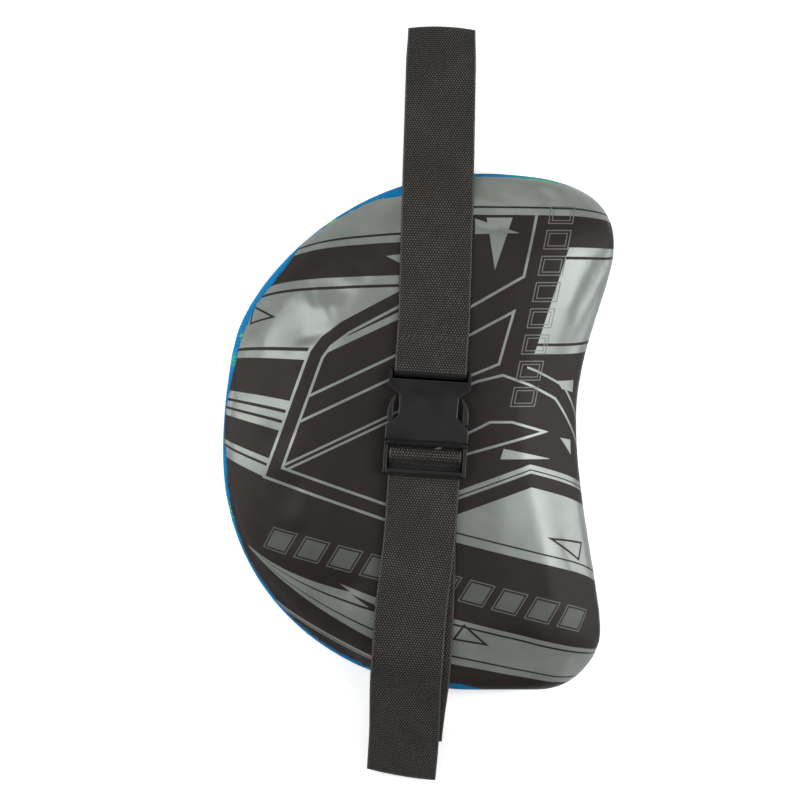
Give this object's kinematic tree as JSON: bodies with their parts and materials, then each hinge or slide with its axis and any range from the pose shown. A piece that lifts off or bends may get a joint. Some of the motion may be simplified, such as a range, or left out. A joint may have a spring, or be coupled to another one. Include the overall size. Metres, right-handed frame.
{
  "type": "kick shield",
  "caption": "Kidney-shaped foam body shield in a printed cover, worn on a webbing waist belt that closes over its face with a side-release buckle.",
  "frame": {"origin": "on the floor under the middle of the whole object's bounding box, with the shield lying on its back", "axes": "+Z out of the padded face, +Y along the belt towards its plain upper fold, +X towards the pad's hollow side"},
  "size_m": [0.287, 0.5546, 0.0716],
  "materials": {
    "firm_foam": "matte",
    "soft_foam": "matte",
    "printed_face": "satin",
    "printed_back": "satin",
    "webbing": "matte",
    "thread": "matte",
    "buckle_plastic": "satin"
  },
  "bodies": {
    "shield": {"foam_core_firm": "firm_foam", "foam_core_soft": "soft_foam", "face_cover": "printed_face", "back_cover": "printed_back", "keeper_upper": "webbing", "keeper_lower": "webbing", "belt_socket_fold": "webbing", "belt_front_upper": "webbing", "belt_fold_top": "webbing", "belt_back_run": "webbing", "belt_fold_bottom": "webbing", "belt_front_lower": "webbing", "belt_tail": "webbing", "stitch_row": "thread", "buckle_socket": "buckle_plastic"},
    "plug": {"buckle_plug": "buckle_plastic", "belt_adjuster_turn": "webbing"},
    "arm_left": {"plug_arm_left": "buckle_plastic"},
    "arm_right": {"plug_arm_right": "buckle_plastic"}
  },
  "joints": [
    {"name": "plug_release", "type": "slide", "parent": "shield", "child": "plug", "axis": [-0.0645, -0.9979, 0], "range_m": [0, 0.034], "deforming": ["belt_adjuster_turn", "plug_arm_left", "plug_arm_right"]},
    {"name": "arm_left_squeeze", "type": "hinge", "parent": "plug", "child": "arm_left", "pos_m": [-0.01975, -0.02584, 0.0665], "axis": [0, 0, -1], "range_deg": [0, 3], "stiffness_Nm_per_rad": 0.4},
    {"name": "arm_right_squeeze", "type": "hinge", "parent": "plug", "child": "arm_right", "pos_m": [0.02935, -0.02901, 0.0665], "axis": [0, 0, 1], "range_deg": [0, 3], "stiffness_Nm_per_rad": 0.4}
  ]
}
